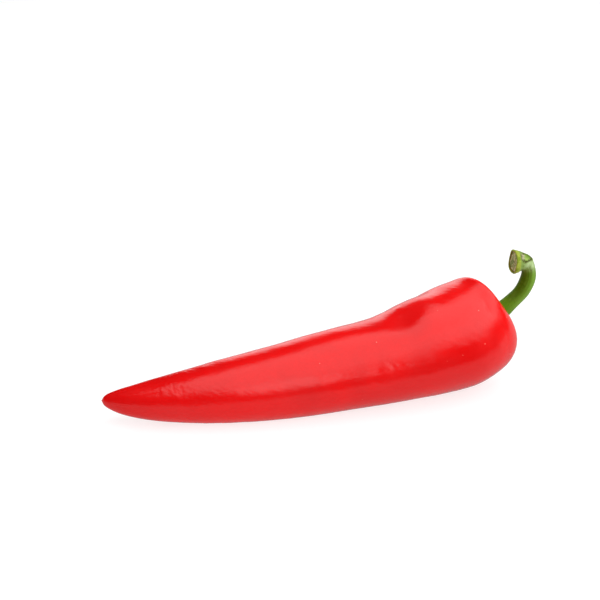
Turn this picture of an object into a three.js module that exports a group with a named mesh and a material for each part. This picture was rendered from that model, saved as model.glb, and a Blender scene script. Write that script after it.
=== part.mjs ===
// A long red chilli pepper lying on its side: the pod, the calyx that caps its stem end, and the
// hooked stem. Millimetres, +Z up. The pod lies along X with its tip towards -X, and rests on z = 0
// on a flattened strip of its underside. The origin is the bottom centre of the whole pepper's box.

import * as THREE from "three";
import { ParametricGeometry } from "three/addons/geometries/ParametricGeometry.js";

// ---- Driving dimensions ----
const POD_LENGTH = 178; // stem end to tip, along X
const SHOULDER_DIAMETER = 48;
const PLAN_BOW = 17; // how far the middle of the pod swings towards -Y of its stem end
const LOBE_HEIGHT = 0.7; // how far the three lobes stand out at the shoulder
const LOBE_REACH = 0.4; // how far along the pod the lobes fade out
const TOP_LOBE_ANGLE = 76; // degrees round the pod: 0 is +Y, 90 is up, 180 is -Y
const SHOULDER_TILT = 2.6; // how far the shoulder leans back at its top, at full radius
const TILT_REACH = 0.12; // how far along the pod the lean fades out
const REST_DEPTH = 0.9; // how much the underside is flattened where it rests
const REST_BLEND = 0.8; // half height of the soft edge round the flattened strip

const CALYX_DIAMETER = 18;
const CALYX_TEETH = 6;
const TOOTH_DEPTH = 0.6;
const CALYX_RIM = 1.2; // thickness at the calyx's margin
const COLLAR_LEDGE = 0.4; // how far the collar stands out round the stem's root
const COLLAR_HEIGHT = 6.4; // from the bottom of the basin to the top of the collar
const GAP = 0.4; // clearance between neighbouring pieces

const STEM_START = 2; // how far the stem runs straight out of the collar
const STEM_REACH = 15; // how far the stem's bend stands out past its root, along X
const STEM_RISE = 26; // how high the hook is above the root
const STEM_DRIFT = 2; // how far the cut end swings to -Y
const STEM_ROOT_DIAMETER = 8.6;
const STEM_DIAMETER = 6.8;
const STEM_NECK_DIAMETER = 6.1;
const CUT_END_DIAMETER = 11;

// ---- Shapes, as shares of the driving dimensions ----
// Half the pod's outline, from the middle of the basin over the crest to the tip: share of the
// length from the stem end, share of the shoulder radius.
const OUTLINE = [
  [0.021, 0], [0.0195, 0.12], [0.012, 0.25], [0.002, 0.38], [-0.004, 0.52], [0.01, 0.7],
  [0.042, 0.86], [0.086, 0.96], [0.135, 1], [0.2, 0.955], [0.29, 0.865], [0.42, 0.765],
  [0.56, 0.68], [0.7, 0.575], [0.83, 0.435], [0.91, 0.315], [0.965, 0.195], [0.992, 0.09], [1, 0],
];
// The pod's centre line: share of the length, share of the bow, height as a share of the
// shoulder radius.
const CENTRE_LINE = [
  [0, 1, 1.08], [0.06, 0.74, 1], [0.16, 0.38, 0.955], [0.34, 0.1, 0.79], [0.56, 0, 0.65],
  [0.78, 0.18, 0.51], [0.93, 0.53, 0.43], [1, 0.77, 0.43],
];
// Swellings and hollows of the skin: share of the length, angle in degrees, spread along (share),
// spread round (degrees), height in millimetres.
const SWELLINGS = [
  [0.068, 96, 0.025, 34, 1.8], // the crest of the top lobe
  [0.043, 103, 0.024, 42, 2.8], // its round end over the basin
  [0.07, 115, 0.05, 17, 0.5], // the broad front edge of its back
  [0.2, 84, 0.035, 18, 0.9], // the narrow back that runs down from it
  [0.17, 80, 0.062, 36, -2.6], // the dip on both sides of that
  [0.31, 80, 0.08, 45, -2], // the waist
  [0.275, 107, 0.038, 20, -1.5], // the hollow between the top lobe and the front one
  [0.16, 117, 0.05, 20, -0.6], // the furrow that leads from it to the shoulder
];
// The stem's bend and hook, past its straight start: shares of its reach, drift and rise.
const STEM_ROUTE = [
  [0.45, 0, 0.19], [0.83, 0, 0.4], [1, 0, 0.64], [0.97, -0.1, 0.82], [0.84, -0.3, 0.92],
  [0.66, -0.4, 0.95], [0.48, -0.3, 0.955],
];
// The stem's thickness along its route: share of the route, diameter.
const STEM_TAPER = [
  [0, STEM_ROOT_DIAMETER], [0.14, 0.5 * (STEM_ROOT_DIAMETER + STEM_DIAMETER)],
  [0.32, STEM_DIAMETER], [0.6, STEM_DIAMETER], [0.78, STEM_NECK_DIAMETER],
  [0.9, 0.5 * (STEM_NECK_DIAMETER + CUT_END_DIAMETER)], [1, CUT_END_DIAMETER],
];

const POD_SIDES = 40;
const POD_STEPS = 56;
const GATHER = 0.8; // how much closer the pod's steps are at its ends: 0 is even
const CALYX_SIDES = 36;
const CALYX_STEPS = 14;
const STEM_SIDES = 18;
const STEM_STEPS = 34;

const SHOULDER_RADIUS = SHOULDER_DIAMETER / 2;
const UP = new THREE.Vector3(0, 0, 1);
const radians = THREE.MathUtils.degToRad;

// A smooth curve through points given as [x, y] or [x, y, z].
function smoothCurve(points) {
  return new THREE.CatmullRomCurve3(points.map(([x, y, z = 0]) => new THREE.Vector3(x, y, z)));
}

// The value at x of a list of [x, value] pairs, eased between them.
function easedValue(pairs, x) {
  const last = pairs.length - 1;
  const next = Math.min(last, Math.max(1, pairs.findIndex(([at]) => at > x)));
  const i = x >= pairs[last][0] ? last : next;
  const [x0, y0] = pairs[i - 1];
  const [x1, y1] = pairs[i];
  return THREE.MathUtils.lerp(y0, y1, THREE.MathUtils.smoothstep(x, x0, x1));
}

// ---- The pod ----
const outline = smoothCurve(
  OUTLINE.map(([along, radius]) => [along * POD_LENGTH, radius * SHOULDER_RADIUS]),
);
const centreLine = smoothCurve(
  CENTRE_LINE.map(([along, bow, height]) => [
    POD_LENGTH * (0.5 - along),
    PLAN_BOW * bow,
    SHOULDER_RADIUS * height,
  ]),
);

// The centre line's point at a share of the pod's length, and the level and upright directions
// across it. Before the stem end the line runs on straight.
function section(along) {
  const on = THREE.MathUtils.clamp(along, 0, 1);
  const forward = centreLine.getTangentAt(on);
  const level = new THREE.Vector3().crossVectors(forward, UP).normalize();
  const upright = new THREE.Vector3().crossVectors(level, forward);
  const point = centreLine.getPointAt(on).addScaledVector(forward, (along - on) * POD_LENGTH);
  return { point, level, upright, forward };
}

// How far the skin stands out of the round outline, in millimetres.
function relief(along, angle) {
  const fade = Math.exp(-((along / LOBE_REACH) ** 2));
  const lobes = LOBE_HEIGHT * Math.cos(3 * (angle - radians(TOP_LOBE_ANGLE))) * fade;
  return SWELLINGS.reduce((sum, [at, round, spreadAlong, spreadRound, height]) => {
    const turn = angle - radians(round);
    const off = Math.atan2(Math.sin(turn), Math.cos(turn)) / radians(spreadRound);
    return sum + height * Math.exp(-(((along - at) / spreadAlong) ** 2) - off ** 2);
  }, lobes);
}

// Heights below the resting depth become 0, with a soft edge, so the underside is flat there.
function flattened(height) {
  const z = height - REST_DEPTH;
  if (z <= -REST_BLEND) return 0;
  return z < REST_BLEND ? (z + REST_BLEND) ** 2 / (4 * REST_BLEND) : z;
}

// A point of the pod's skin: share round it, share along its outline from basin to tip.
function podSkin(round, along, target) {
  const angle = 2 * Math.PI * round;
  const { x, y: radius } = outline.getPointAt(along);
  const share = radius / SHOULDER_RADIUS;
  const leaning = Math.exp(-((x / (TILT_REACH * POD_LENGTH)) ** 2));
  const at = (x + SHOULDER_TILT * share * Math.sin(angle) * leaning) / POD_LENGTH;
  const out = radius + relief(at, angle) * Math.min(1, 2 * share); // no relief on the axis
  const { point, level, upright } = section(at);
  target.copy(point).addScaledVector(level, out * Math.cos(angle));
  target.addScaledVector(upright, out * Math.sin(angle));
  target.z = flattened(target.z);
}

// Steps gather at both ends of the outline, where the skin turns fastest.
function gathered(share) {
  return share - (GATHER * Math.sin(2 * Math.PI * share)) / (2 * Math.PI);
}

function podGeometry() {
  const place = (u, v, target) => podSkin(1 - u, gathered(v), target);
  return new ParametricGeometry(place, POD_SIDES, POD_STEPS);
}

// ---- The calyx ----
const basin = section(OUTLINE[0][0]);
const calyxAxis = basin.forward.clone().negate();
const basinCentre = basin.point;

// The share of the outline at which the basin reaches a radius.
function outlineShareAt(radius) {
  let low = 0;
  let high = 0.12; // past the crest, where the outline is still widening
  for (let i = 0; i < 30; i++) {
    const middle = (low + high) / 2;
    if (outline.getPointAt(middle).y < radius) low = middle;
    else high = middle;
  }
  return low;
}

// The calyx lies on the basin: v runs out along its underside, round its toothed margin, and back
// over the top to the flat collar, which is square to the calyx's axis.
function calyxSkin(u, v, target) {
  const angle = 2 * Math.PI * u;
  const tooth = TOOTH_DEPTH * Math.cos(CALYX_TEETH * angle);
  const underside = v < 0.5;
  const out = underside ? 2 * v : 2 * (1 - v);
  const radius = out * (CALYX_DIAMETER / 2 + tooth * out ** 3);
  podSkin(u, outlineShareAt(radius), target);
  const height = target.clone().sub(basinCentre).dot(calyxAxis);
  const collar = STEM_ROOT_DIAMETER / 2 + COLLAR_LEDGE;
  const slope = THREE.MathUtils.smoothstep(radius, collar, CALYX_DIAMETER / 2);
  const top = THREE.MathUtils.lerp(COLLAR_HEIGHT, height + GAP + CALYX_RIM, Math.sqrt(slope));
  const wanted = underside ? height + GAP : top;
  target.addScaledVector(calyxAxis, wanted - height);
}

function calyxGeometry() {
  return new ParametricGeometry(calyxSkin, CALYX_SIDES, CALYX_STEPS);
}

// ---- The stem ----
const stemRoot = basinCentre.clone().addScaledVector(calyxAxis, COLLAR_HEIGHT + GAP);
const stemStart = stemRoot.clone().addScaledVector(calyxAxis, STEM_START);
const stemBends = STEM_ROUTE.map(([reach, drift, rise]) => [
  stemRoot.x + reach * STEM_REACH,
  stemRoot.y + drift * STEM_DRIFT,
  stemRoot.z + rise * STEM_RISE,
]);
const stemLine = smoothCurve([stemRoot.toArray(), stemStart.toArray(), ...stemBends]);

// Round sections carried along the stem's route, closed by a flat disc at each end.
function stemGeometry() {
  const { normals, binormals, tangents } = stemLine.computeFrenetFrames(STEM_STEPS);
  const place = (u, v, target) => {
    const row = Math.round(v * (STEM_STEPS + 2)) - 1;
    const step = THREE.MathUtils.clamp(row, 0, STEM_STEPS);
    const share = step / STEM_STEPS;
    const radius = row === step ? easedValue(STEM_TAPER, share) / 2 : 0;
    const angle = 2 * Math.PI * u;
    stemLine.getPointAt(share, target);
    target.addScaledVector(normals[step], radius * Math.cos(angle));
    target.addScaledVector(binormals[step], radius * Math.sin(angle));
  };
  return new ParametricGeometry(place, STEM_SIDES, STEM_STEPS + 2);
}

// ---- Assembly ----
function piece(name, geometry, material) {
  const mesh = new THREE.Mesh(geometry, material);
  mesh.name = name;
  return mesh;
}

const podMaterial = new THREE.MeshStandardMaterial({ color: 0xd90a08, roughness: 0.18 });
const calyxMaterial = new THREE.MeshStandardMaterial({ color: 0x5f7d1e, roughness: 0.5 });
const stemMaterial = new THREE.MeshStandardMaterial({ color: 0x6b8c1f, roughness: 0.45 });

const laid = new THREE.Group();
laid.add(piece("pod", podGeometry(), podMaterial));
laid.add(piece("calyx", calyxGeometry(), calyxMaterial));
laid.add(piece("stem", stemGeometry(), stemMaterial));

const box = new THREE.Box3().setFromObject(laid);
const middle = box.getCenter(new THREE.Vector3());
laid.position.set(-middle.x, -middle.y, -box.min.z);

const pepper = new THREE.Group();
pepper.add(laid);

export default pepper;
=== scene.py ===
"""A long red chilli pepper lying on its side: the finished pod, calyx and stem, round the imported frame.

Every shape is worked out with numpy, in metres, in the frame's own axes: the pod lies along X with its
tip towards -X, and rests on z = 0.
"""

import math

import bpy
import numpy as np
from bpy.props import (
    FloatProperty,
    FloatVectorProperty,
    IntProperty,
    PointerProperty,
)
from mathutils import Matrix, Vector


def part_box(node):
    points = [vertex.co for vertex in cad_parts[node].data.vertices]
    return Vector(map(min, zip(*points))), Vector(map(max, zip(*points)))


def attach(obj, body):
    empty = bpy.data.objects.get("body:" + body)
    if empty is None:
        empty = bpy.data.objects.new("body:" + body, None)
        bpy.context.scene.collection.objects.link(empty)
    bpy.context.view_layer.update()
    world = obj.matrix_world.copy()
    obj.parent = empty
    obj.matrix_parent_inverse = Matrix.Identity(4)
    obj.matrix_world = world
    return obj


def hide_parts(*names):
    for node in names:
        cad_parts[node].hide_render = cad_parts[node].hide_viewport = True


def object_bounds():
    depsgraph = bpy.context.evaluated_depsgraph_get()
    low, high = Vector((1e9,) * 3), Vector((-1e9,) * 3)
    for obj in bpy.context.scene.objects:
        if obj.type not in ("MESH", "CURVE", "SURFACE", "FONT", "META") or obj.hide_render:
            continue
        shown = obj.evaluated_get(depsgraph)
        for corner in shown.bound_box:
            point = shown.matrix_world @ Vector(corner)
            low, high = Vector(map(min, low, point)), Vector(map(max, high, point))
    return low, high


bl_info = {
    "name": "Chilli Pepper",
    "version": (1, 0, 0),
    "blender": (4, 5, 0),
    "location": "View3D > Sidebar > Pepper",
    "description": "Builds a long red pepper with its calyx and hooked stem",
    "category": "Mesh",
}

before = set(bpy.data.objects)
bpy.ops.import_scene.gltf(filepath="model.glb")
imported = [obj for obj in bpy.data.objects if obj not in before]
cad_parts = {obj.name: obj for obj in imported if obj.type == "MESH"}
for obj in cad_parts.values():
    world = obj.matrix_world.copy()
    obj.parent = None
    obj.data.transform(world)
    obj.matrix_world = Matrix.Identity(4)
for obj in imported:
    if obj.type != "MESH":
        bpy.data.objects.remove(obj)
CAD_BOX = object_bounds()
MM = 0.001
TAU = 2 * math.pi
RIB_HEIGHT = 0.35 * MM  # how far the calyx's ribs stand out
ROOT_SINK = 0.0006  # how far the stem's root reaches into the collar, past the gap

# Half the pod's outline, from the middle of the basin over the crest to the tip: share of the
# length from the stem end, share of the shoulder radius.
OUTLINE = (
    (0.021, 0), (0.0195, 0.12), (0.012, 0.25), (0.002, 0.38), (-0.004, 0.52), (0.01, 0.7),
    (0.042, 0.86), (0.086, 0.96), (0.135, 1), (0.2, 0.955), (0.29, 0.865), (0.42, 0.765),
    (0.56, 0.68), (0.7, 0.575), (0.83, 0.435), (0.91, 0.315), (0.965, 0.195), (0.992, 0.09), (1, 0),
)
# The pod's centre line: share of the length, share of the bow, height as a share of the
# shoulder radius.
CENTRE_LINE = (
    (0, 1, 1.08), (0.06, 0.74, 1), (0.16, 0.38, 0.955), (0.34, 0.1, 0.79), (0.56, 0, 0.65),
    (0.78, 0.18, 0.51), (0.93, 0.53, 0.43), (1, 0.77, 0.43),
)
# Swellings and hollows of the skin: share of the length, angle in degrees (0 is +Y, 90 is up, 180 is
# -Y), spread along (share), spread round (degrees), height in millimetres.
SWELLINGS = (
    (0.068, 96, 0.025, 34, 1.8),  # the crest of the top lobe
    (0.043, 103, 0.024, 42, 2.8),  # its round end over the basin
    (0.07, 115, 0.05, 17, 0.5),  # the broad front edge of its back
    (0.2, 84, 0.035, 18, 0.9),  # the narrow back that runs down from it
    (0.17, 80, 0.062, 36, -2.6),  # the dip on both sides of that
    (0.31, 80, 0.08, 45, -2.0),  # the waist
    (0.275, 107, 0.038, 20, -1.5),  # the hollow between the top lobe and the front one
    (0.16, 117, 0.05, 20, -0.6),  # the furrow that leads from it to the shoulder
    (0.093, 132, 0.006, 7, -0.6),  # a dimple below it
    (0.262, 79, 0.005, 6, 0.16),  # a crease over the hollow
)
# Fine relief of the skin: seed, number of waves, least and most turns along, least and most turns
# round, height in millimetres.
FINE_RELIEF = (
    (3, 14, (1.5, 6), (0, 4), 0.16),  # slow swells
    (11, 40, (8, 26), (2, 12), 0.045),  # dents
    (17, 70, (35, 100), (8, 48), 0.024),  # pebbles
)
TIP_FOLDS = (27, 24, (100, 150), (0, 6), 0.03)  # the same, for the folds near the tip
# The stem's bend and hook, past its straight start: shares of its reach, drift and rise.
STEM_ROUTE = (
    (0.45, 0, 0.19), (0.83, 0, 0.4), (1, 0, 0.64), (0.97, -0.1, 0.82), (0.84, -0.3, 0.92),
    (0.66, -0.4, 0.95), (0.48, -0.3, 0.955),
)
# The swollen end: share of the stem, angle in degrees (180 is the outer side of the bend, 270 faces -Y,
# 360 is the inner side), spread along (share), spread round (degrees), height in millimetres.
KNUCKLE = (
    (0.84, 190, 0.035, 34, 0.45),  # the heel of the bend
    (0.905, 243, 0.03, 13, 0.42),  # the lip under the leaf scar
    (0.86, 262, 0.05, 16, 0.22),  # the shoulder below it, painted pale, partly as a painted highlight
    (0.915, 318, 0.022, 14, -0.5),  # the pinch inside the bend
    (0.955, 300, 0.03, 30, 0.2),  # the underside of the flare
)


# ---- Sizes and colours that a user would change ----


def length(name, default, description):
    """A length in metres."""
    return FloatProperty(
        name=name, description=description, default=default, min=0, precision=5, unit="LENGTH"
    )


def colour(name, default, description):
    """A scene-linear colour."""
    return FloatVectorProperty(
        name=name, description=description, default=default, size=3, min=0, max=1, subtype="COLOR"
    )


class PodSettings(bpy.types.PropertyGroup):
    """The fruit's shape and skin."""

    pod_length: length("Length", 0.178, "Stem end to tip along X")
    shoulder_diameter: length("Shoulder", 0.048, "Diameter across the shoulder")
    plan_bow: length("Bow", 0.017, "How far the middle swings to the near side of the stem end")
    lobe_height: length("Lobes", 0.0007, "How far the three lobes stand out at the shoulder")
    lobe_reach: FloatProperty(
        name="Lobe reach", description="Where along the pod the lobes fade out", default=0.4
    )
    top_lobe_angle: FloatProperty(
        name="Top lobe", description="Angle of the top lobe round the pod",
        default=math.radians(76), subtype="ANGLE",
    )
    shoulder_tilt: length("Tilt", 0.0026, "How far the shoulder leans back at its top")
    tilt_reach: FloatProperty(
        name="Tilt reach", description="Where along the pod the lean fades out", default=0.12
    )
    rest_depth: length("Rest depth", 0.0009, "How much the underside is flattened")
    rest_blend: length("Rest blend", 0.0008, "Half height of the soft edge of the flat strip")
    skin_red: colour("Skin", (0.74, 0.0012, 0.0012), "Main colour of the skin")
    skin_deep: colour("Deep skin", (0.56, 0.0006, 0.0008), "Colour of the darker patches")
    sides: IntProperty(name="Sides", description="Faces round the pod", default=236)
    steps: IntProperty(name="Steps", description="Faces along the pod", default=400)


class CalyxSettings(bpy.types.PropertyGroup):
    """The green cap in the basin."""

    diameter: length("Diameter", 0.018, "Across the calyx, between its teeth")
    teeth: IntProperty(name="Teeth", description="Points round the margin", default=6)
    tooth_depth: length("Tooth depth", 0.0006, "Half the depth of the teeth")
    rim: length("Rim", 0.0012, "Thickness at the margin")
    collar_ledge: length("Collar ledge", 0.0004, "How far the collar stands out round the stem")
    collar_height: length("Collar height", 0.0064, "From the basin's bottom to the collar's top")
    gap: length("Gap", 0.0004, "Clearance over the pod's skin")
    green: colour("Green", (0.135, 0.21, 0.02), "Colour of the calyx")


class StemSettings(bpy.types.PropertyGroup):
    """The hooked stem and its cut end."""

    start: length("Start", 0.002, "Straight run out of the collar")
    reach: length("Reach", 0.015, "How far the bend stands out past the root")
    rise: length("Rise", 0.026, "Scale of the hook's height above the root")
    drift: length("Drift", 0.002, "Scale of the hook's swing to the near side")
    root_diameter: length("Root", 0.0086, "Diameter at the collar")
    diameter: length("Middle", 0.0068, "Diameter along the middle")
    neck_diameter: length("Neck", 0.0061, "Diameter under the cut end")
    cut_diameter: length("Cut end", 0.011, "Diameter of the cut end")
    green: colour("Green", (0.088, 0.19, 0.004), "Main colour of the stem")


class StageSettings(bpy.types.PropertyGroup):
    """Floor, light and camera."""

    azimuth: FloatProperty(
        name="Azimuth", description="Camera's direction round the pepper",
        default=math.radians(-16), subtype="ANGLE",
    )
    elevation: FloatProperty(
        name="Elevation", description="Camera's height above the horizon",
        default=math.radians(21.5), subtype="ANGLE",
    )
    distance: length("Distance", 0.6, "Camera to its aim")
    lens: FloatProperty(name="Lens", description="Focal length in millimetres", default=85)
    key: FloatProperty(name="Key light", description="Strength of the front softboxes", default=1)
    fill: FloatProperty(name="Fill light", description="Strength of the unseen fill lights", default=1)


# ---- Curves and waves ----


def smooth_curve(points, samples=4000):
    """A centripetal Catmull-Rom curve through the points, sampled at even steps along its length.

    Each stretch is blended three times over from its four nearest points, with the knots spaced by
    the square root of the distance between points; the curve is then resampled by arc length.
    """
    p = np.asarray(points, float)
    p = np.vstack([2 * p[0] - p[1], p, 2 * p[-1] - p[-2]])
    knots = np.concatenate([[0], np.cumsum(np.sqrt(np.linalg.norm(np.diff(p, axis=0), axis=1)))])
    t = np.linspace(knots[1], knots[-2], samples)
    i = np.clip(np.searchsorted(knots, t, side="right") - 1, 1, len(p) - 3)
    p0, p1, p2, p3 = (p[i + step] for step in (-1, 0, 1, 2))
    k0, k1, k2, k3 = (knots[i + step] for step in (-1, 0, 1, 2))

    def mix(a, b, start, end):
        share = ((t - start) / (end - start))[:, None]
        return (1 - share) * a + share * b

    a1, a2, a3 = mix(p0, p1, k0, k1), mix(p1, p2, k1, k2), mix(p2, p3, k2, k3)
    curve = mix(mix(a1, a2, k0, k2), mix(a2, a3, k1, k3), k1, k2)
    run = np.concatenate([[0], np.cumsum(np.linalg.norm(np.diff(curve, axis=0), axis=1))])
    return at_share(curve, np.linspace(0, 1, samples), run / run[-1])


def at_share(samples, share, stations=None):
    """Rows of samples, read at shares from 0 to 1 of the way through them."""
    if stations is None:
        stations = np.linspace(0, 1, len(samples))
    return np.stack([np.interp(share, stations, column) for column in samples.T], axis=-1)


def eased(share):
    """0 to 1 with level ends: three times the square less twice the cube."""
    share = np.clip(share, 0, 1)
    return share * share * (3 - 2 * share)


def unit(vectors):
    """The vectors, each divided by its own length."""
    return vectors / np.linalg.norm(vectors, axis=-1, keepdims=True)


def bump_at(distance, spread):
    """A bell curve: e to minus the square of distance over spread."""
    return np.exp(-((distance / spread) ** 2))


def turned(angle, centre):
    """The signed angle from centre to angle, between minus and plus half a turn."""
    return (angle - centre + math.pi) % TAU - math.pi


def waves(along, angle, seed, count, along_turns, round_turns):
    """A sum of sine waves over the surface, each with its own whole number of turns round it.

    Wave k is sin(2 pi f along + n angle + phase) with f, n and phase drawn from the seed, and its
    height falls as its total frequency grows. The sum is scaled to lie mostly between -1 and 1.
    """
    draw = np.random.default_rng(seed)
    total = np.zeros(np.broadcast(along, angle).shape)
    weight = 0.0
    for _ in range(count):
        f = draw.uniform(*along_turns)
        n = draw.integers(round_turns[0], round_turns[1] + 1)
        phase = draw.uniform(0, TAU)
        height = 1 / (1 + 0.05 * (f + abs(n)))
        total += height * np.sin(TAU * f * along + n * angle + phase)
        weight += height**2
    return total / math.sqrt(2 * weight)


def rippled(share, angle, relief):
    """The height, in metres, that a row of FINE_RELIEF or TIP_FOLDS gives at each point."""
    seed, count, along_turns, round_turns, height = relief
    return waves(share, angle, seed, count, along_turns, round_turns) * height * MM


# ---- The pod's surface ----


def pod_sections(settings, along):
    """Centre point and level, upright and forward directions of the pod at shares of its length.

    The centre line is a smooth curve through CENTRE_LINE, and runs on straight past both ends. Forward
    is towards the tip.
    """
    radius = settings.shoulder_diameter / 2
    share, bow, height = np.array(CENTRE_LINE).T
    line = smooth_curve(
        np.stack([settings.pod_length * (0.5 - share), settings.plan_bow * bow, radius * height], 1)
    )
    forward = unit(np.gradient(line, axis=0))
    level = unit(np.cross(forward, (0, 0, 1)))
    upright = np.cross(level, forward)
    on = np.clip(along, 0, 1)
    heading = at_share(forward, on)
    centre = at_share(line, on) + heading * ((along - on) * settings.pod_length)[..., None]
    return centre, at_share(level, on), at_share(upright, on), heading


def pod_relief(settings, along, angle):
    """How far the skin stands out of the round outline, in metres.

    Three lobes, a cosine of three times the angle that fades as a bell curve along the pod, plus the
    SWELLINGS, each a bell curve both ways.
    """
    lobes = settings.lobe_height * np.cos(3 * (angle - settings.top_lobe_angle))
    relief = lobes * bump_at(along, settings.lobe_reach)
    for at, round_at, spread_along, spread_round, height in SWELLINGS:
        off = turned(angle, math.radians(round_at))
        swelling = bump_at(along - at, spread_along) * bump_at(off, math.radians(spread_round))
        relief = relief + height * MM * swelling
    return relief


def pod_skin(settings, angle, outline_share, fine=0.0):
    """Points of the pod's skin, and where each is along the pod.

    The outline gives a distance along the centre line and a radius. The top of the shoulder leans
    back in step with the sine of the angle. The point is the centre line's point plus the radius and
    relief along the level direction times the cosine and the upright direction times the sine. Then
    heights under the resting depth become zero, with a parabola as the soft edge.
    """
    along, radius = np.array(OUTLINE).T
    full = settings.shoulder_diameter / 2
    outline = smooth_curve(np.stack([along * settings.pod_length, radius * full], 1))
    x, out = np.moveaxis(at_share(outline, outline_share), -1, 0)
    angle, x, out = np.broadcast_arrays(angle, x, out)
    share = out / full
    leaning = bump_at(x, settings.tilt_reach * settings.pod_length)
    here = (x + settings.shoulder_tilt * share * np.sin(angle) * leaning) / settings.pod_length
    out = out + (pod_relief(settings, here, angle) + fine) * np.minimum(1, 2 * share)
    centre, level, upright, _ = pod_sections(settings, here)
    points = centre + (out * np.cos(angle))[..., None] * level
    points += (out * np.sin(angle))[..., None] * upright
    z, blend = points[..., 2] - settings.rest_depth, settings.rest_blend
    soft = (z + blend) ** 2 / (4 * blend)
    points[..., 2] = np.where(z <= -blend, 0, np.where(z < blend, soft, z))
    return points, here


def gathered(share, amount=0.55):
    """Shares from 0 to 1 that lie closer at both ends: the share less a sine wave of one turn."""
    return share - amount * np.sin(TAU * share) / TAU


def placed(points, settings):
    """The points, moved so that the pod's own box stands where the CAD pod's box is."""
    angle = np.linspace(0, TAU, 121)[None, :]
    coarse, _ = pod_skin(settings, angle, gathered(np.linspace(0, 1, 241))[:, None])
    low, high = (np.array(corner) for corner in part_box("pod"))
    own_low, own_high = coarse.min((0, 1)), coarse.max((0, 1))
    shift = (low + high - own_low - own_high) / 2
    shift[2] = 0
    return points + shift


# ---- Meshes from grids ----


def grid_mesh(name, grid, attributes=None, flip=False):
    """A closed mesh from a grid of points: rows run from pole to pole, columns go once round.

    The first and last rows are each one point. The faces between rows are four-sided, and each pole
    is closed by a fan of triangles. Attributes are arrays of the grid's size, one number per point.
    Flip turns the faces over, for a grid whose faces would point inwards.
    """
    rows, columns = grid.shape[:2]
    ring = np.arange(columns)
    after = (ring + 1) % columns
    body = grid[1:-1].reshape(-1, 3)
    points = np.vstack([grid[:1, 0], body, grid[-1:, 0]])
    start = 1 + columns * np.arange(rows - 3)[:, None]
    quads = np.stack([start + ring, start + after, start + columns + after, start + columns + ring], -1)
    last = 1 + columns * (rows - 3)
    near = np.stack([np.zeros_like(ring), after + 1, ring + 1], -1)
    far = np.stack([np.full_like(ring, len(points) - 1), last + ring, last + after], -1)
    faces = quads.reshape(-1, 4).tolist() + near.tolist() + far.tolist()
    if flip:
        faces = [face[::-1] for face in faces]
    mesh = bpy.data.meshes.new(name)
    mesh.from_pydata(points.tolist(), [], faces)
    mesh.polygons.foreach_set("use_smooth", np.ones(len(faces), bool))
    for key, values in (attributes or {}).items():
        flat = np.concatenate([values[:1, 0], values[1:-1].ravel(), values[-1:, 0]])
        layer = mesh.attributes.new(key, "FLOAT", "POINT")
        layer.data.foreach_set("value", flat.astype(np.float32))
    mesh.validate()
    mesh.update()
    return mesh


def add_piece(name, mesh, material, node):
    """Puts the mesh in the scene as a finished piece that stands for a CAD node."""
    piece = bpy.data.objects.new(name, mesh)
    bpy.context.scene.collection.objects.link(piece)
    mesh.materials.append(material)
    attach(piece, "root")
    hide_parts(node)


# ---- Material nodes ----


class Nodes:
    """Short calls for building one material's node tree."""

    def __init__(self, name):
        self.material = bpy.data.materials.new(name)
        self.material.use_nodes = True
        self.tree = self.material.node_tree
        self.shader = self.tree.nodes["Principled BSDF"]

    def put(self, value, socket):
        """Links a socket, or sets a plain value."""
        if isinstance(value, bpy.types.NodeSocket):
            self.tree.links.new(value, socket)
        elif value is not None:
            socket.default_value = value

    def node(self, kind, inputs=None, **settings):
        """A node with its settings and inputs; inputs are keyed by name or number."""
        made = self.tree.nodes.new("ShaderNode" + kind)
        for key, value in settings.items():
            setattr(made, key, value)
        for key, value in (inputs or {}).items():
            self.put(value, made.inputs[key])
        return made

    def place(self):
        """Object coordinates, in metres."""
        return self.node("TexCoord").outputs["Object"]

    def attribute(self, name):
        return self.node("Attribute", attribute_name=name).outputs["Fac"]

    def stretched(self, vector, scale):
        return self.node("Mapping", {"Vector": vector, "Scale": scale}).outputs["Vector"]

    def noise(self, vector, scale, detail=2.0, roughness=0.5, distortion=0.0):
        inputs = {
            "Vector": vector, "Scale": scale, "Detail": detail, "Roughness": roughness,
            "Distortion": distortion,
        }
        return self.node("TexNoise", inputs).outputs["Fac"]

    def ramp(self, value, low, high, to_low=0.0, to_high=1.0):
        """The value, mapped from low..high to to_low..to_high with soft ends."""
        inputs = {
            "Value": value, "From Min": low, "From Max": high, "To Min": to_low, "To Max": to_high,
        }
        return self.node("MapRange", inputs, interpolation_type="SMOOTHSTEP").outputs["Result"]

    def math(self, operation, a, b):
        return self.node("Math", {0: a, 1: b}, operation=operation).outputs["Value"]

    def mix(self, share, a, b, blend="MIX"):
        """Colour a, with colour b blended over it by share."""
        made = self.tree.nodes.new("ShaderNodeMix")
        made.data_type = "RGBA"
        made.blend_type = blend
        self.put(share, made.inputs["Factor"])
        for value, socket in ((a, made.inputs[6]), (b, made.inputs[7])):
            self.put((*value, 1) if isinstance(value, tuple) else value, socket)
        return made.outputs[2]

    def bump(self, height, distance, normal=None):
        inputs = {"Height": height, "Distance": distance, "Strength": 1.0, "Normal": normal}
        return self.node("Bump", inputs).outputs["Normal"]

    def finish(self, **inputs):
        """Puts values or links on the shader, by socket name with underscores for spaces."""
        for key, value in inputs.items():
            self.put(value, self.shader.inputs[key.replace("_", " ")])
        return self.material


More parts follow.
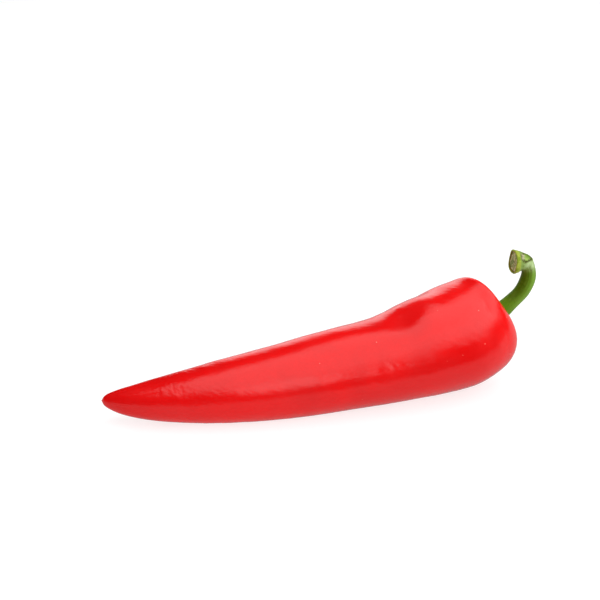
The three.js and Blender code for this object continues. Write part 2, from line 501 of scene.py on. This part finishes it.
def skin_material(settings):
    """Glossy waxy red skin: soft patches of deeper red, fine mottling, pale specks, and a fine grain."""
    n = Nodes("pod_skin")
    place = n.place()
    patches = n.ramp(n.noise(place, 28, 3, 0.55, 0.4), 0.36, 0.68)
    mottle = n.noise(place, 850, 3, 0.6)
    red = n.mix(n.math("MULTIPLY", patches, 0.55), tuple(settings.skin_red), tuple(settings.skin_deep))
    red = n.mix(n.ramp(mottle, 0.35, 0.7, 0, 0.16), red, tuple(settings.skin_deep))
    cells = n.node("TexVoronoi", {"Vector": place, "Scale": 270.0, "Randomness": 1.0})
    chosen = n.ramp(n.node("SeparateColor", {0: cells.outputs["Color"]}).outputs[0], 0.76, 0.78)
    speck = n.math("MULTIPLY", n.ramp(cells.outputs["Distance"], 0.045, 0.075, 1, 0), chosen)
    red = n.mix(n.math("MULTIPLY", speck, 0.75), red, (0.95, 0.30, 0.22))
    grain = n.noise(place, 1100, 3, 0.6)
    dents = n.noise(place, 170, 2, 0.5)
    tip = n.attribute("crinkle")
    lines = n.noise(n.stretched(place, (620, 90, 90)), 1.0, 2, 0.5)
    normal = n.bump(n.math("MULTIPLY", lines, tip), 0.00009)
    normal = n.bump(dents, 0.00019, normal=normal)
    normal = n.bump(grain, 0.00008, normal=normal)
    normal = n.bump(speck, 0.00003, normal=normal)
    rough = n.ramp(n.noise(place, 60, 3, 0.6), 0.3, 0.7, 0.15, 0.21)
    return n.finish(Base_Color=red, Roughness=rough, Normal=normal, IOR=1.5)


def leaf_material(settings):
    """Matt calyx green: paler ribs, a browner margin and a fine leathery grain."""
    n = Nodes("calyx_green")
    place = n.place()
    green = tuple(settings.green)
    tint = n.mix(n.ramp(n.noise(place, 260, 3, 0.6), 0.3, 0.7), green, (0.07, 0.13, 0.012))
    tint = n.mix(n.ramp(n.attribute("rib"), 0.2, 1.0, 0, 0.5), tint, (0.22, 0.30, 0.05))
    tint = n.mix(n.ramp(n.attribute("margin"), 0.8, 1.0, 0, 0.7), tint, (0.16, 0.13, 0.03))
    normal = n.bump(n.noise(place, 900, 3, 0.6), 0.00012)
    rough = n.ramp(n.noise(place, 300, 2), 0.3, 0.7, 0.42, 0.6)
    return n.finish(Base_Color=tint, Roughness=rough, Normal=normal)


def stem_material(settings):
    """Satin green stem with streaks along it, a pale dry knuckle, a brown-edged scar and a cut face. The
    outer side is painted lighter as painted light, the inner side darker as painted shade, and the pale
    patch is partly a painted highlight.
    """
    n = Nodes("stem_green")
    place = n.place()
    tint = tuple(settings.green)
    fine = n.noise(place, 1500, 3, 0.6)
    blotch = n.noise(place, 420, 3, 0.6)
    streak = n.attribute("streak")
    tint = n.mix(n.ramp(streak, 0.25, 0.8, 0, 0.45), tint, (0.060, 0.135, 0.002))
    # Painted light: the outer side of the bend is painted a lighter green.
    tint = n.mix(n.math("MULTIPLY", n.attribute("painted_lit_side"), 0.8), tint, (0.165, 0.30, 0.035))
    tint = n.mix(n.math("MULTIPLY", n.attribute("base"), 0.7), tint, (0.105, 0.235, 0.008))
    # Painted shade: the inner side of the bend is painted a darker olive.
    tint = n.mix(n.math("MULTIPLY", n.attribute("painted_shade_inner"), 0.95), tint, (0.056, 0.098, 0.001))
    tint = n.mix(n.ramp(blotch, 0.4, 0.7, 0, 0.3), tint, (0.13, 0.20, 0.02))
    dry = n.math("MULTIPLY", n.attribute("dry"), n.ramp(blotch, 0.3, 0.65, 0.35, 0.85))
    tint = n.mix(dry, tint, (0.24, 0.34, 0.09))
    # The pale patch on the knuckle is partly pale dry skin and partly a painted highlight.
    pale_and_highlight = n.math("MULTIPLY", n.attribute("pale_and_highlight"), n.ramp(blotch, 0.25, 0.6, 0.6, 1.0))
    tint = n.mix(pale_and_highlight, tint, (0.40, 0.52, 0.25))
    freckle = n.ramp(n.noise(place, 950, 2, 0.5, 0.6), 0.55, 0.62)
    tint = n.mix(n.math("MULTIPLY", freckle, n.attribute("freckle")), tint, (0.10, 0.10, 0.02))
    tint = n.mix(n.attribute("scar"), tint, (0.19, 0.30, 0.05))
    tint = n.mix(n.attribute("scar_deep"), tint, (0.085, 0.17, 0.008))
    tint = n.mix(n.attribute("scar_lip"), tint, (0.33, 0.48, 0.11))
    edge = n.math("MULTIPLY", n.attribute("scar_edge"), n.ramp(fine, 0.3, 0.55, 0.75, 1.0))
    tint = n.mix(edge, tint, (0.042, 0.040, 0.003))
    tint = n.mix(n.attribute("knot"), tint, (0.42, 0.40, 0.24))
    band = n.mix(n.ramp(blotch, 0.35, 0.6), (0.17, 0.25, 0.015), (0.30, 0.36, 0.045))
    tint = n.mix(n.attribute("band"), tint, band)
    pith = n.mix(n.ramp(n.noise(place, 330, 3, 0.6), 0.42, 0.58), (0.22, 0.31, 0.10), (0.58, 0.54, 0.28))
    pith = n.mix(n.ramp(fine, 0.58, 0.68), pith, (0.80, 0.72, 0.46))
    pith = n.mix(n.ramp(fine, 0.42, 0.3), pith, (0.16, 0.17, 0.05))
    tint = n.mix(n.attribute("pith"), tint, pith)
    tint = n.mix(n.attribute("rind"), tint, (0.11, 0.062, 0.006))
    rough = n.ramp(n.attribute("pith"), 0.0, 1.0, 0.36, 0.8)
    rough = n.math("ADD", rough, n.math("MULTIPLY", n.attribute("dry"), 0.12))
    normal = n.bump(streak, 0.00008)
    normal = n.bump(fine, 0.00009, normal=normal)
    return n.finish(Base_Color=tint, Roughness=rough, Normal=normal, Specular_IOR_Level=0.06)


# ---- The pieces ----


def pod_mesh(settings):
    """The pod: its skin on a fine grid, with FINE_RELIEF laid over the outline.

    Near the tip, fine folds across the pod are added under a bell curve both ways. The crinkle attribute
    is a wider bell curve at about the same place.
    """
    share = gathered(np.linspace(0, 1, settings.steps + 1))[:, None]
    angle = np.linspace(0, TAU, settings.sides, endpoint=False)[None, :]
    fine = sum(rippled(share, angle, relief) for relief in FINE_RELIEF)
    near_tip = bump_at(share - 0.84, 0.045) * bump_at(turned(angle, math.radians(122)), 0.36)
    fine = fine + rippled(share, angle, TIP_FOLDS) * near_tip
    points, along = pod_skin(settings, angle, share, fine)
    crinkle = bump_at(along - 0.83, 0.07) * bump_at(turned(angle, math.radians(120)), 0.6)
    return grid_mesh("pod_skin", placed(points, settings), {"crinkle": crinkle}, flip=True)


def calyx_frame(settings):
    """The basin's centre and the direction straight out of it."""
    share = np.array(OUTLINE[0][0])
    centre, _, _, heading = pod_sections(settings, share)
    return centre, -heading


def outline_share_at(settings, radius):
    """The share of the outline at which the basin reaches a radius, by reading the outline backwards."""
    along, reach = np.array(OUTLINE).T
    full = settings.shoulder_diameter / 2
    outline = smooth_curve(np.stack([along * settings.pod_length, reach * full], 1))
    widest = int(outline[:, 1].argmax())
    return np.interp(radius, outline[: widest + 1, 1], np.linspace(0, 1, len(outline))[: widest + 1])


def calyx_mesh(pod, calyx, stem):
    """The calyx: rows go out along the underside, round the margin and back over the top.

    The underside is the pod's skin lifted by the gap. The top goes from the collar's height at the
    collar's radius down to the margin, by the square root of an eased share. Each tooth has a rib.
    """
    rows, columns = 140, 216
    v = np.linspace(0, 1, rows + 1)[:, None]
    angle = np.linspace(0, TAU, columns, endpoint=False)[None, :]
    underside = v < 0.5
    out = np.where(underside, 2 * v, 2 * (1 - v))
    wobble = waves(0 * angle, angle, 5, 6, (0, 0), (1, 5)) * 0.25 * MM
    tooth = calyx.tooth_depth * np.cos(calyx.teeth * angle) + wobble
    radius = out * (calyx.diameter / 2 + tooth * out**3)
    points, _ = pod_skin(pod, angle, outline_share_at(pod, radius))
    centre, axis = calyx_frame(pod)
    height = (points - centre) @ axis
    collar = stem.root_diameter / 2 + calyx.collar_ledge
    slope = eased((radius - collar) / (calyx.diameter / 2 - collar))
    rib = np.clip(np.cos(calyx.teeth * angle), 0, 1) ** 2 * np.sin(math.pi * np.clip(slope, 0, 1))
    edge = height + calyx.gap + calyx.rim
    top = calyx.collar_height + (edge - calyx.collar_height) * np.sqrt(slope) + RIB_HEIGHT * rib
    rounded = calyx.rim * 0.5 * (1 - np.sqrt(np.clip(1 - ((out - 0.9) / 0.1).clip(0, 1) ** 2, 0, 1)))
    wanted = np.where(underside, height + calyx.gap + rounded, top - rounded)
    points = points + (wanted - height)[..., None] * axis
    margin = np.broadcast_to(out, height.shape)
    attributes = {"rib": rib, "margin": margin}
    return grid_mesh("calyx_leaf", placed(points, pod), attributes)


def stem_line(pod, calyx, stem):
    """The stem's centre line and the two directions across it, as even samples from root to cut end."""
    centre, axis = calyx_frame(pod)
    root = centre + axis * (calyx.collar_height + calyx.gap)
    shares = np.array(STEM_ROUTE) * (stem.reach, stem.drift, stem.rise)
    line = smooth_curve(np.vstack([root, root + axis * stem.start, root + shares]), 1200)
    forward = unit(np.gradient(line, axis=0))
    side = unit(np.cross(forward, (0, 1, 0)))
    return line, forward, side, np.cross(side, forward)


def stem_radius(calyx, stem, share):
    """Half the stem's thickness at shares of its length: a sleeve over the collar, a neck and a flare."""
    stations = (0, 0.05, 0.14, 0.32, 0.6, 0.76, 0.84, 0.92, 1)
    sizes = (
        stem.root_diameter + 2.6 * calyx.collar_ledge, stem.root_diameter,
        (stem.root_diameter + stem.diameter) / 2, stem.diameter, stem.diameter * 1.02,
        stem.neck_diameter, stem.neck_diameter * 1.12, stem.cut_diameter * 0.82, stem.cut_diameter,
    )
    curve = smooth_curve(np.stack([stations, np.array(sizes) / 2], 1), 1600)
    return np.interp(share, curve[:, 0], curve[:, 1])


def leaf_scar(share, angle):
    """How much a point of the stem lies on the edge of the leaf scar, and how much inside it.

    The scar is a leaf shape. Its edge lies where the offsets along and round from its middle, over its
    half length and half width, have a root sum of squares of one, with a slant and a little wander.
    """
    along = (share - 0.888) / 0.047
    aside = turned(angle, math.radians(216) + 0.35 * along) / math.radians(33)
    distance = np.sqrt(along**2 + aside**2 + 0.45 * along * aside)
    wander = 0.09 * waves(share, angle, 41, 12, (20, 60), (6, 16))
    return bump_at(distance - 1 + wander, 0.22), eased((1 - distance) / 0.3)


def cut_end(radius, over, angle):
    """The cut end, for shares over it from its outer edge to its middle.

    It rolls over a quarter-circle lip, drops to a dish and runs level to the middle, with rough pith.
    Gives the share of the radius, the distance ahead of the stem's end, and how much a point is pith
    and how much it is on the ring between rind and pith, which is a groove.
    """
    lip = 0.45 * MM
    roll = np.clip(over / 0.16, 0, 1)
    inward = np.clip((over - 0.16) / 0.84, 0, 1)
    across = (1 - lip / radius * (1 - np.cos(math.pi / 2 * roll))) * (1 - inward)
    dish = 0.75 * MM * eased(inward / 0.22)
    pith = eased((inward - 0.1) / 0.06)
    ring = bump_at(inward - 0.1, 0.05) * (over > 0)
    rough = waves(across * 2, angle, 51, 70, (1, 9), (2, 22))
    uneven = waves(across, angle, 61, 10, (0, 1), (1, 3)) * 0.25 * MM * across * eased(over / 0.04)
    ahead = lip * np.sin(math.pi / 2 * roll) - dish + (0.16 * rough * pith - 0.12 * ring) * MM + uneven
    return across, ahead * (over > 0), pith, ring


def stem_mesh(pod, calyx, stem):
    """The stem: nearly round sections carried along its line, flared to a cut end.

    The radius follows stem_radius, with five soft ridges that fade out before the flare, fine streaks,
    the KNUCKLE swellings and the sunk leaf scar with its grooved edge. The attributes place the colours:
    most are bell curves both ways round a spot given by its share and angle.
    """
    rows, columns, cap = 330, 200, 56
    share = np.concatenate([[0], np.linspace(0, 1, rows - cap), np.ones(cap)])[:, None]
    over = np.concatenate([np.zeros(rows - cap + 1), np.linspace(0, 1, cap + 1)[1:]])[:, None]
    angle = np.linspace(0, TAU, columns, endpoint=False)[None, :]
    side_only = 1 - eased(over / 0.04)
    fade = 1 - eased((share - 0.66) / 0.16)
    ridges = 0.028 * np.cos(5 * angle + 0.6 + 1.5 * share) * fade * eased(share / 0.1)
    streak = waves(share, angle, 21, 46, (0, 2.2), (9, 46))
    grain = waves(share, angle, 31, 60, (6, 40), (4, 30))

    def spot(at, round_at, along, round_spread):
        off = turned(angle, math.radians(round_at))
        return bump_at(share - at, along) * bump_at(off, math.radians(round_spread))

    relief = (0.035 * streak + 0.035 * grain * (0.5 + eased((share - 0.7) / 0.1))) * MM
    for at, round_at, spread_along, spread_round, height in KNUCKLE:
        relief = relief + height * MM * spot(at, round_at, spread_along, spread_round)
    scar_edge, inside_scar = leaf_scar(share, angle)
    relief = (relief - (0.3 * scar_edge + 0.12 * inside_scar) * MM) * side_only

    radius = stem_radius(calyx, stem, share)
    across_share, ahead, pith, ring = cut_end(radius, over, angle)
    line, forward, side, across = (
        at_share(part, share[:, 0])[:, None] for part in stem_line(pod, calyx, stem)
    )
    out = (radius * (1 + ridges) + relief) * across_share
    out[0] = 0
    points = line + (out * np.cos(angle))[..., None] * side + (out * np.sin(angle))[..., None] * across
    points = points + ahead[..., None] * forward
    points[:2] -= forward[0] * (calyx.gap + ROOT_SINK)

    knuckle = eased((share - 0.7) / 0.12)
    # Painted shade on the inner side of the bend, and painted light on the outer side.
    painted_shade_inner = bump_at(turned(angle, math.radians(324)), math.radians(37))
    outer = bump_at(turned(angle, math.radians(238)), math.radians(42))
    edges = (scar_edge, spot(0.915, 316, 0.018, 12), spot(0.944, 226, 0.009, 20))
    attributes = {
        "streak": 0.5 + 0.5 * streak,
        "base": 1 - eased((share - 0.14) / 0.22) + 0 * angle,
        "painted_shade_inner": painted_shade_inner * eased((share - 0.2) / 0.12) * (1 - eased((share - 0.76) / 0.1)),
        "painted_lit_side": outer * (1 - knuckle),
        "dry": knuckle * side_only + 0 * angle,
        # The pale patch: partly pale dry skin, partly a painted highlight.
        "pale_and_highlight": np.maximum(spot(0.86, 262, 0.045, 34), spot(0.8, 240, 0.06, 30)) * side_only,
        "freckle": np.maximum(spot(0.75, 270, 0.06, 26), 0.6 * spot(0.9, 280, 0.04, 40)) * side_only,
        "scar": inside_scar * side_only,
        "scar_edge": np.maximum.reduce(edges) * side_only,
        "scar_lip": spot(0.9, 243, 0.03, 12) * side_only,
        "scar_deep": spot(0.87, 200, 0.03, 16) * side_only,
        "knot": (spot(0.925, 213, 0.016, 9) + spot(0.932, 232, 0.012, 9)) * side_only,
        "band": eased((share - 0.945) / 0.02) * (1 - pith) + 0 * angle,
        "pith": pith + 0 * angle,
        "rind": ring + 0 * angle,
    }
    return grid_mesh("stem_hook", placed(points, pod), attributes, flip=True)


class PEPPER_OT_pod(bpy.types.Operator):
    """Makes the red pod"""

    bl_idname = "pepper.make_pod"
    bl_label = "Make pod"

    def execute(self, context):
        settings = context.scene.pepper_pod
        add_piece("pod_skin", pod_mesh(settings), skin_material(settings), "pod")
        return {"FINISHED"}


class PEPPER_OT_calyx(bpy.types.Operator):
    """Makes the calyx in the pod's basin"""

    bl_idname = "pepper.make_calyx"
    bl_label = "Make calyx"

    def execute(self, context):
        scene = context.scene
        mesh = calyx_mesh(scene.pepper_pod, scene.pepper_calyx, scene.pepper_stem)
        add_piece("calyx_leaf", mesh, leaf_material(scene.pepper_calyx), "calyx")
        return {"FINISHED"}


class PEPPER_OT_stem(bpy.types.Operator):
    """Makes the hooked stem with its cut end"""

    bl_idname = "pepper.make_stem"
    bl_label = "Make stem"

    def execute(self, context):
        scene = context.scene
        mesh = stem_mesh(scene.pepper_pod, scene.pepper_calyx, scene.pepper_stem)
        add_piece("stem_hook", mesh, stem_material(scene.pepper_stem), "stem")
        return {"FINISHED"}


# ---- The stage ----


# The front softboxes: left, right, bottom and top edge on a plane that faces the pepper from one metre
# away, and the radiance. They overlap, and where they do their light adds up.
SOFTBOXES = {
    "softbox_wide": (-0.9, 1.05, -0.45, 1.12, 1.45),
    "softbox_core": (-0.75, 1.3, -0.5, 0.9, 1.35),
    "softbox_right": (1.05, 3.0, -0.3, 0.7, 1.4),
    "softbox_low_left": (-1.15, -0.42, -1.5, -0.45, 2.0),
    "softbox_left": (-1.15, -0.9, -0.45, 0.5, 1.45),
    "softbox_low_right": (-0.42, 0.9, -0.85, -0.5, 0.8),
}
SOFTBOX_FACING = (60, 15)  # angle round X and angle towards +X, in degrees
# The light behind the pepper that draws its bright upper rim.
RIM_FACING = (155, 10)
RIM_LIGHT = (-0.32, 0.2, -0.42, 0.13, 1.5)
# Fill lights that leave no highlight: angle round X and angle towards +X, in degrees, and the radiance.
FILLS = {
    "fill_right": (60, 60, 1.3),
    "fill_top": (115, -10, 0.75),
    "fill_left": (30, -70, 0.45),
}
FILL_EDGES = (-0.7, 0.7, -0.7, 0.7)
LIGHTS_AIM_HEIGHT = 0.02
CAMERA_AIM = (-0.014, 0, 0.0478)  # from the middle of the box's bottom
SENSOR_WIDTH = 36  # millimetres
FLOOR_RADIUS = 6.0
FLOOR_GREY, FLOOR_GLOW = 0.25, 0.78
TABLE_GREY, TABLE_DROP = 0.42, 0.0005  # the table's grey, and how far it lies under the floor
WORLD_LIGHT = 0.03  # what the white world gives to everything but the camera
# The black card: half its width, how far in front of the pepper it starts and ends, and its height.
CARD = (0.9, 0.033, 1.4, 0.0004)


def direction(round_x, side):
    """The unit vector at an angle round X and one towards +X, in degrees: 0, 0 is -Y, and 90, 0 is up."""
    round_x, side = math.radians(round_x), math.radians(side)
    return np.array([
        math.sin(side), -math.cos(side) * math.cos(round_x), math.cos(side) * math.sin(round_x)
    ])


def panel_light(name, aim, facing, edges, radiance, gloss=True):
    """A rectangular light on the plane across facing, one metre from aim.

    The edges are distances on that plane. Left and right are level, and a light's power is its radiance
    times its area times pi. The camera doesn't see it, and without gloss reflections don't either.
    """
    left, right, bottom, top = edges
    across = unit(np.cross((0, 0, 1), facing))
    up = np.cross(facing, across)
    data = bpy.data.lights.new(name, "AREA")
    data.shape = "RECTANGLE"
    data.size, data.size_y = right - left, top - bottom
    data.energy = radiance * math.pi * data.size * data.size_y
    lamp = bpy.data.objects.new(name, data)
    bpy.context.scene.collection.objects.link(lamp)
    middle = across * (left + right) / 2 + up * (bottom + top) / 2
    lamp.matrix_world = Matrix((
        (across[0], up[0], facing[0], 0), (across[1], up[1], facing[1], 0),
        (across[2], up[2], facing[2], 0), (0, 0, 0, 1),
    ))
    lamp.location = aim + facing + middle
    lamp.visible_camera = False
    lamp.visible_glossy = gloss


def plain_material(name, grey, roughness):
    """A stage material of one grey with a very faint, broad unevenness."""
    n = Nodes(name)
    grain = n.ramp(n.noise(n.place(), 6, 2), 0.3, 0.7, 0.985, 1.0)
    uneven = n.node("CombineColor", {0: grain, 1: grain, 2: grain}).outputs[0]
    shade = n.mix(1.0, (grey, grey, grey), uneven, blend="MULTIPLY")
    return n.finish(Base_Color=shade, Roughness=roughness)


def stage_sheet(name, grid, material):
    """A flat or curved sheet of the stage from a grid of points."""
    rows, columns = grid.shape[:2]
    index = np.arange(rows * columns).reshape(rows, columns)
    faces = np.stack([index[:-1, :-1], index[:-1, 1:], index[1:, 1:], index[1:, :-1]], -1)
    mesh = bpy.data.meshes.new(name)
    mesh.from_pydata(grid.reshape(-1, 3).tolist(), [], faces.reshape(-1, 4).tolist())
    mesh.materials.append(material)
    sheet = bpy.data.objects.new(name, mesh)
    bpy.context.scene.collection.objects.link(sheet)
    return sheet


def set_world(scene):
    """A world that the camera sees as white, and that gives everything else only a little light."""
    world = bpy.data.worlds.new("studio")
    scene.world = world
    world.use_nodes = True
    tree = world.node_tree
    background = tree.nodes["Background"]
    background.inputs["Color"].default_value = (1, 1, 1, 1)
    path = tree.nodes.new("ShaderNodeLightPath")
    share = tree.nodes.new("ShaderNodeMapRange")
    tree.links.new(path.outputs["Is Camera Ray"], share.inputs["Value"])
    share.inputs["To Min"].default_value = WORLD_LIGHT
    share.inputs["To Max"].default_value = 1.0
    tree.links.new(share.outputs["Result"], background.inputs["Strength"])


def set_camera(scene, settings, target):
    """The camera at its azimuth, elevation and distance from the target, facing it."""
    azimuth, elevation = settings.azimuth, settings.elevation
    back = np.array([
        math.sin(azimuth) * math.cos(elevation),
        -math.cos(azimuth) * math.cos(elevation),
        math.sin(elevation),
    ])
    camera = bpy.data.objects.new("camera", bpy.data.cameras.new("camera"))
    scene.collection.objects.link(camera)
    camera.data.lens = settings.lens
    camera.data.sensor_width = SENSOR_WIDTH
    camera.location = target + settings.distance * back
    camera.rotation_euler = (-Vector(back)).to_track_quat("-Z", "Y").to_euler()
    scene.camera = camera


class PEPPER_OT_stage(bpy.types.Operator):
    """Sets the floor, the lights and the camera"""

    bl_idname = "pepper.set_stage"
    bl_label = "Set stage"

    def execute(self, context):
        scene = context.scene
        settings = scene.pepper_stage
        low, high = (np.array(corner) for corner in CAD_BOX)
        centre = (low + high) / 2
        radius, angle = np.meshgrid((0.0, FLOOR_RADIUS), np.linspace(0, TAU, 97), indexing="ij")
        disc = np.stack([radius * np.cos(angle), radius * np.sin(angle), 0 * angle], -1)
        floor = stage_sheet("floor", disc, plain_material("pale_floor", FLOOR_GREY, 0.6))
        glow = floor.data.materials[0].node_tree.nodes["Principled BSDF"].inputs
        glow["Emission Color"].default_value = (1, 1, 1, 1)
        glow["Emission Strength"].default_value = FLOOR_GLOW
        floor.visible_glossy = floor.visible_shadow = False
        # The floor glows, so reflections don't show it: they show a plain table and a black card instead.
        grey = plain_material("table", TABLE_GREY, 0.7)
        table = stage_sheet("table_in_gloss", disc - (0, 0, TABLE_DROP), grey)
        table.visible_camera = table.visible_diffuse = False

        card = Nodes("black_card").finish(Base_Color=(0, 0, 0, 1), Roughness=1.0, Specular_IOR_Level=0)
        half, near, far, lift = CARD
        x, y = np.meshgrid((-half, half), (low[1] - near, low[1] - far), indexing="ij")
        sheet = stage_sheet("black_card", np.stack([x, y, 0 * x + lift], -1), card)
        sheet.visible_camera = sheet.visible_diffuse = sheet.visible_shadow = False

        aim = np.array([centre[0], centre[1], LIGHTS_AIM_HEIGHT])
        facing = direction(*SOFTBOX_FACING)
        for name, (*edges, radiance) in SOFTBOXES.items():
            panel_light(name, aim, facing, edges, radiance * settings.key)
        *edges, radiance = RIM_LIGHT
        panel_light("rim_light", aim, direction(*RIM_FACING), edges, radiance)
        for name, (round_x, side, radiance) in FILLS.items():
            facing = direction(round_x, side)
            panel_light(name, aim, facing, FILL_EDGES, radiance * settings.fill, gloss=False)

        set_world(scene)
        set_camera(scene, settings, centre * (1, 1, 0) + CAMERA_AIM)
        scene.view_settings.view_transform = "Standard"
        return {"FINISHED"}


class PEPPER_PT_panel(bpy.types.Panel):
    """Lists the steps in order"""

    bl_idname = "PEPPER_PT_panel"
    bl_label = "Chilli Pepper"
    bl_space_type = "VIEW_3D"
    bl_region_type = "UI"
    bl_category = "Pepper"

    def draw(self, context):
        for operator, group in STEPS:
            self.layout.operator(operator)
            settings = getattr(context.scene, group)
            for key in settings.bl_rna.properties.keys():
                if key not in ("rna_type", "name"):
                    self.layout.prop(settings, key)


STEPS = (
    ("pepper.make_pod", "pepper_pod"),
    ("pepper.make_calyx", "pepper_calyx"),
    ("pepper.make_stem", "pepper_stem"),
    ("pepper.set_stage", "pepper_stage"),
)
GROUPS = {
    "pepper_pod": PodSettings,
    "pepper_calyx": CalyxSettings,
    "pepper_stem": StemSettings,
    "pepper_stage": StageSettings,
}
OPERATORS = (PEPPER_OT_pod, PEPPER_OT_calyx, PEPPER_OT_stem, PEPPER_OT_stage)


def register():
    for made in (*GROUPS.values(), *OPERATORS, PEPPER_PT_panel):
        bpy.utils.register_class(made)
    for name, group in GROUPS.items():
        setattr(bpy.types.Scene, name, PointerProperty(type=group))


def unregister():
    for name in GROUPS:
        delattr(bpy.types.Scene, name)
    for made in (PEPPER_PT_panel, *OPERATORS[::-1], *list(GROUPS.values())[::-1]):
        bpy.utils.unregister_class(made)


def main():
    register()
    bpy.ops.pepper.make_pod()
    bpy.ops.pepper.make_calyx()
    bpy.ops.pepper.make_stem()
    bpy.ops.pepper.set_stage()


if __name__ == "__main__":
    main()
